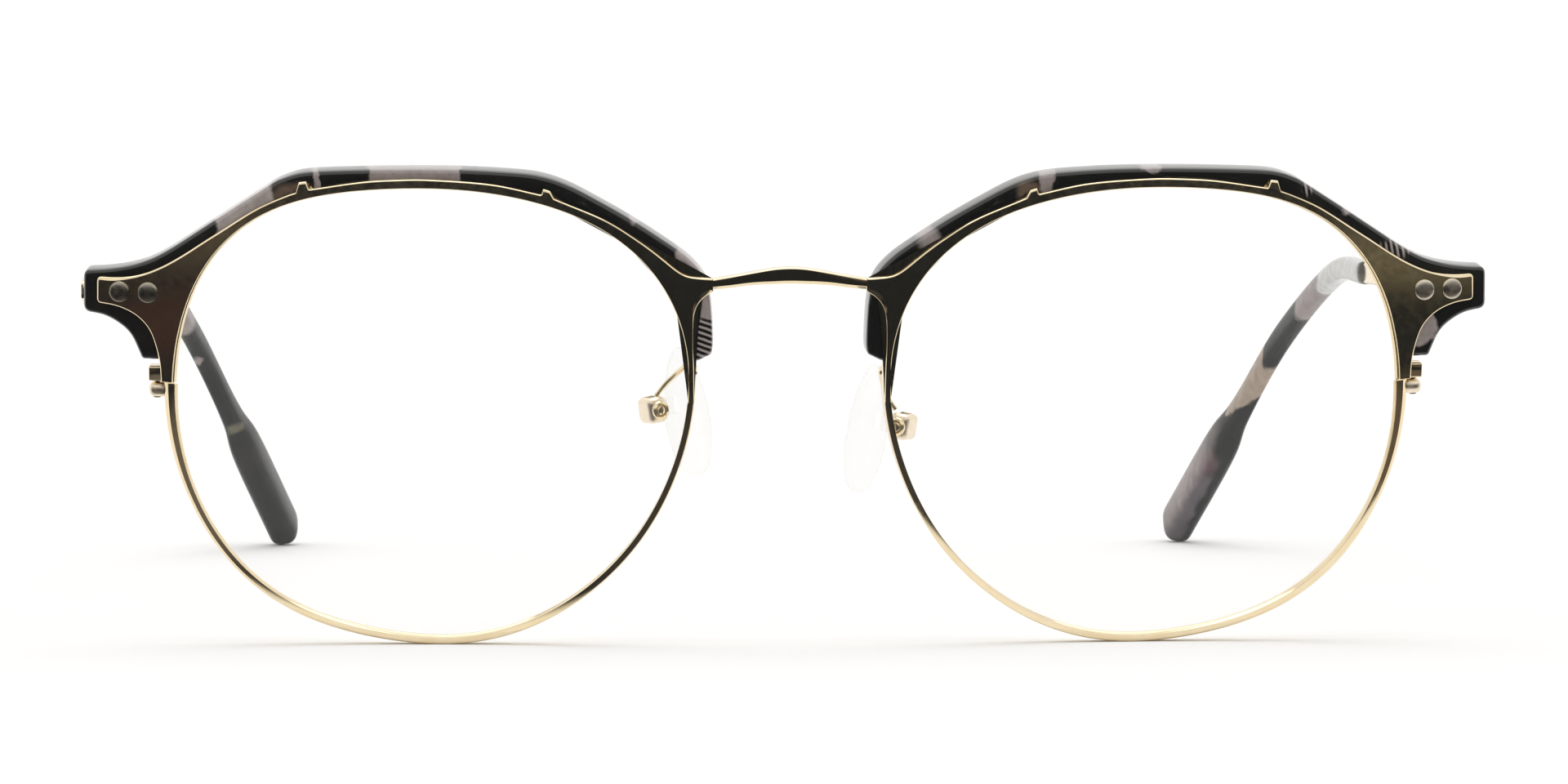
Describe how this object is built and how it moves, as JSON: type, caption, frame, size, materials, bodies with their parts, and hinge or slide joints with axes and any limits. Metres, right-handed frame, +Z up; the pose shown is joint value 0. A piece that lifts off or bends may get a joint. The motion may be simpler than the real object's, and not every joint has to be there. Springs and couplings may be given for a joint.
{
  "type": "browline eyeglasses",
  "caption": "Browline eyeglasses: metal eyewires under a tortoise acetate brow, with clear lenses, a metal bridge, rocking nose pads and slim folding temples with acetate tips.",
  "frame": {"origin": "middle of the bottom of the bounding box, on the surface that the open glasses stand on", "axes": "+Z up, the wearer looks along -Y, the temples run towards +Y, +X is the wearer's left"},
  "size_m": [0.1398, 0.1421, 0.0476],
  "materials": {
    "gold_metal": "polished, pale gold plated",
    "rivet_metal": "satin",
    "tortoise_acetate": "polished dark tortoise with grey-lilac flecks",
    "clear_lens": "clear",
    "clear_silicone": "clear, soft"
  },
  "bodies": {
    "front": {"bridge": "gold_metal", "brow_piece_left": "tortoise_acetate", "brow_piece_right": "tortoise_acetate", "eyewire_left": "gold_metal", "eyewire_right": "gold_metal", "hinge_front_left": "gold_metal", "hinge_front_right": "gold_metal", "hinge_screw_left": "rivet_metal", "hinge_screw_right": "rivet_metal", "lens_left": "clear_lens", "lens_right": "clear_lens", "pad_arm_left": "gold_metal", "pad_arm_right": "gold_metal", "pad_box_left": "gold_metal", "pad_box_right": "gold_metal", "pad_screw_left": "rivet_metal", "pad_screw_right": "rivet_metal", "rim_lock_lower_left": "gold_metal", "rim_lock_lower_right": "gold_metal", "rim_lock_screw_left": "rivet_metal", "rim_lock_screw_right": "rivet_metal", "rim_lock_upper_left": "gold_metal", "rim_lock_upper_right": "gold_metal", "rivet_inner_left": "rivet_metal", "rivet_inner_right": "rivet_metal", "rivet_outer_left": "rivet_metal", "rivet_outer_right": "rivet_metal", "trim_plate_left": "gold_metal", "trim_plate_right": "gold_metal"},
    "temple_left_arm": {"temple_left": "gold_metal", "temple_tip_left": "tortoise_acetate", "hinge_temple_left": "gold_metal"},
    "pad_left": {"nose_pad_left": "clear_silicone"},
    "temple_right_arm": {"temple_right": "gold_metal", "temple_tip_right": "tortoise_acetate", "hinge_temple_right": "gold_metal"},
    "pad_right": {"nose_pad_right": "clear_silicone"}
  },
  "joints": [
    {"name": "temple_left_hinge", "type": "hinge", "parent": "front", "child": "temple_left_arm", "pos_m": [0.0672, -0.05751, 0.0351], "axis": [0, 0, 1], "range_deg": [0, 83]},
    {"name": "temple_right_hinge", "type": "hinge", "parent": "front", "child": "temple_right_arm", "pos_m": [-0.0672, -0.05751, 0.0351], "axis": [0, 0, -1], "range_deg": [0, 75]},
    {"name": "pad_left_rock", "type": "hinge", "parent": "front", "child": "pad_left", "pos_m": [0.01175, -0.05931, 0.0213], "axis": [0.5264, 0.8503, 0], "range_deg": [-8, 8]},
    {"name": "pad_right_rock", "type": "hinge", "parent": "front", "child": "pad_right", "pos_m": [-0.0132, -0.05931, 0.023], "axis": [0.5264, -0.8503, 0], "range_deg": [-8, 8]}
  ]
}
